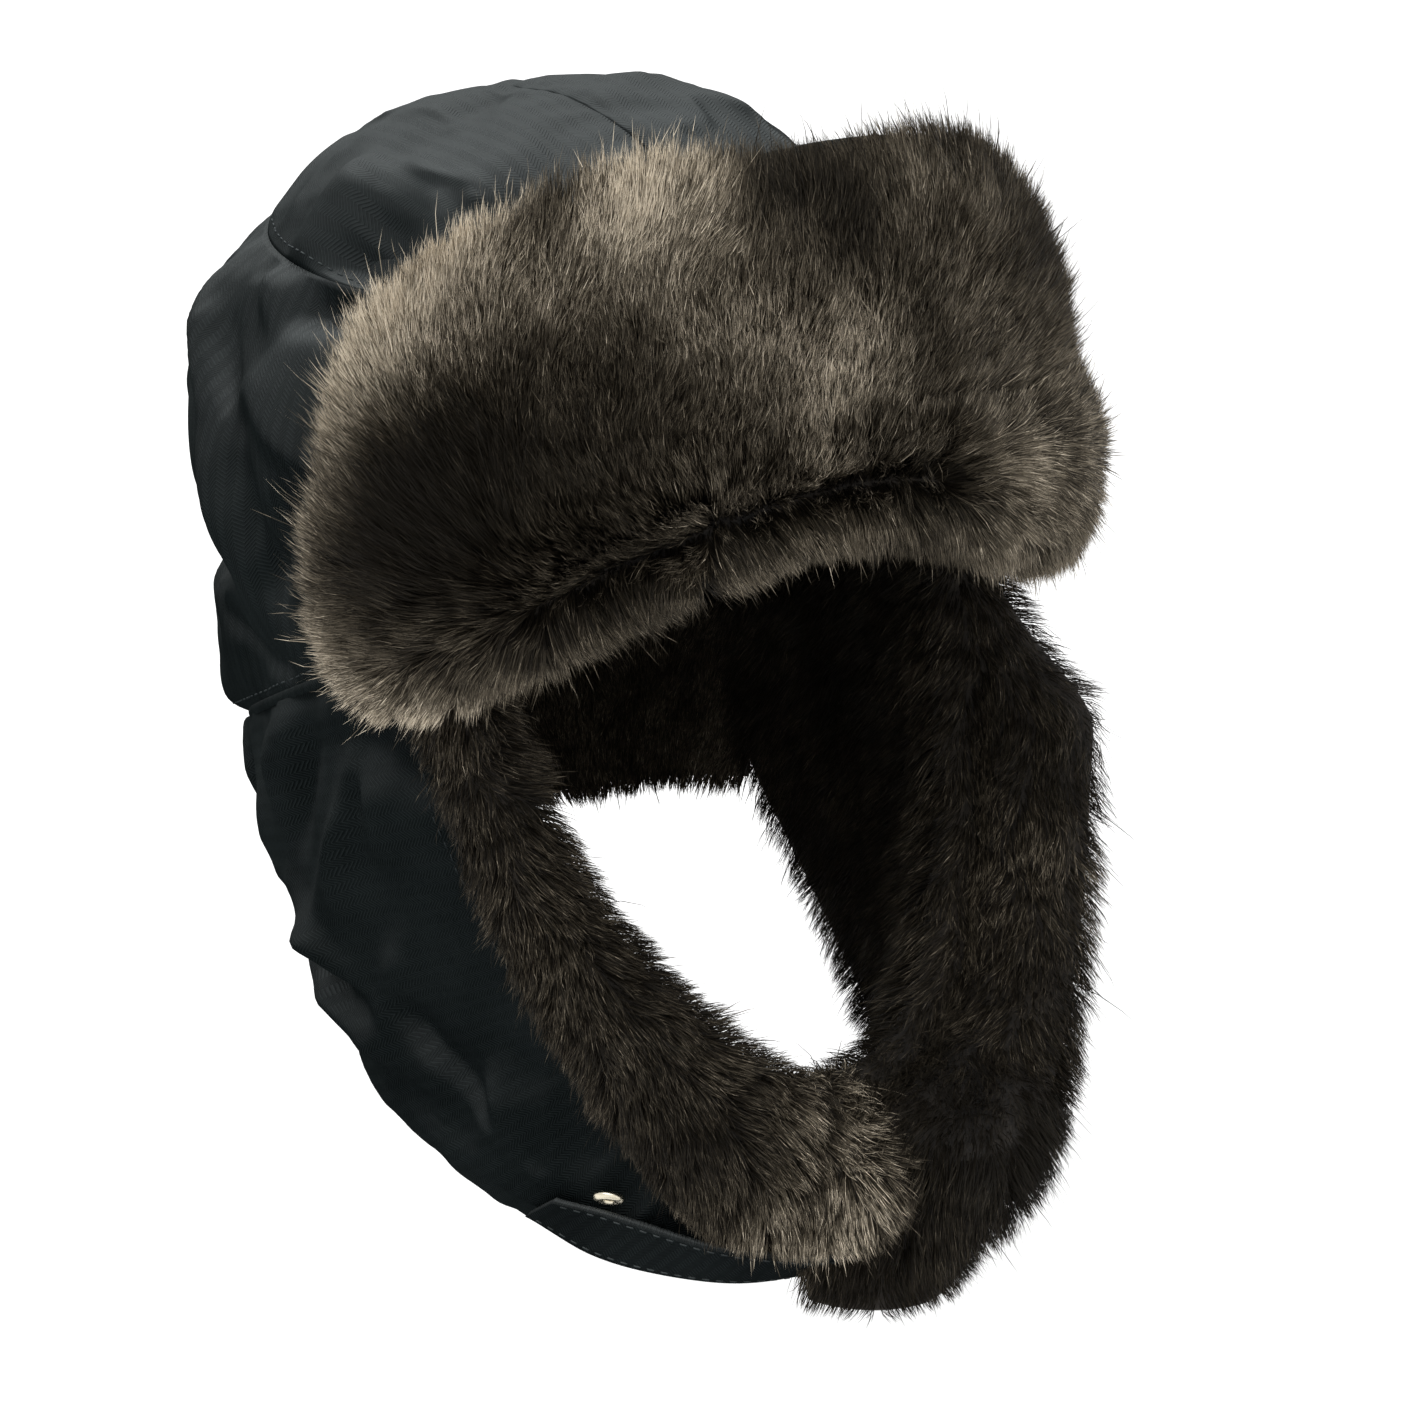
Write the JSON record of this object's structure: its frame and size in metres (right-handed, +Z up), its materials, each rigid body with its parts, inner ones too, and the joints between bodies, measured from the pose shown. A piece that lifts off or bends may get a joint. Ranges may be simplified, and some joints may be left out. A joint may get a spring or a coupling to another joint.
{
  "type": "trapper hat",
  "caption": "Padded trapper hat with a domed crown, a turned-up fur visor, fur-lined ear flaps that meet under the chin, and a chin strap with a press stud.",
  "frame": {"origin": "middle of the wearer's head at brow height, inside the crown", "axes": "+Z up through the crown, -Y out of the face opening, +X towards the wearer's left"},
  "size_m": [0.2, 0.2355, 0.285],
  "materials": {
    "shell_fabric": "fine twill with a dull sheen",
    "lining_fabric": "smooth quilted lining",
    "wadding": "loose polyester wadding",
    "interlining": "stiff felted interlining",
    "fur": "long mottled faux-fur pile",
    "strap_fabric": "folded twill",
    "snap_metal": "pale polished"
  },
  "bodies": {
    "crown": {"crown_side_right": "shell_fabric", "crown_side_left": "shell_fabric", "crown_top_right": "shell_fabric", "crown_top_left": "shell_fabric", "crown_band": "shell_fabric", "crown_wadding": "wadding", "crown_lining": "lining_fabric", "sweatband": "lining_fabric", "nape_shell": "shell_fabric", "nape_wadding": "wadding", "nape_fur": "fur"},
    "visor": {"visor_backing": "shell_fabric", "visor_interlining": "interlining", "visor_fur": "fur"},
    "right_flap": {"right_flap_shell": "shell_fabric", "right_flap_wadding": "wadding", "right_flap_fur": "fur", "snap_socket": "snap_metal"},
    "left_flap": {"left_flap_shell": "shell_fabric", "left_flap_wadding": "wadding", "left_flap_fur": "fur"},
    "strap": {"chin_strap": "strap_fabric", "snap_stud": "snap_metal"}
  },
  "joints": [
    {"name": "visor_fold", "type": "hinge", "parent": "crown", "child": "visor", "pos_m": [0, -0.072, 0.02], "axis": [1, 0, 0], "range_deg": [0, 60]},
    {"name": "right_flap_open", "type": "hinge", "parent": "crown", "child": "right_flap", "pos_m": [-0.093, 0, -0.008], "axis": [0, 0.9349, -0.355], "range_deg": [0, 90]},
    {"name": "left_flap_open", "type": "hinge", "parent": "crown", "child": "left_flap", "pos_m": [0.093, 0, -0.008], "axis": [0, -0.9349, 0.355], "range_deg": [0, 90]},
    {"name": "strap_open", "type": "hinge", "parent": "left_flap", "child": "strap", "pos_m": [0.03, -0.075, -0.156], "axis": [0, -1, 0], "range_deg": [0, 90]}
  ]
}
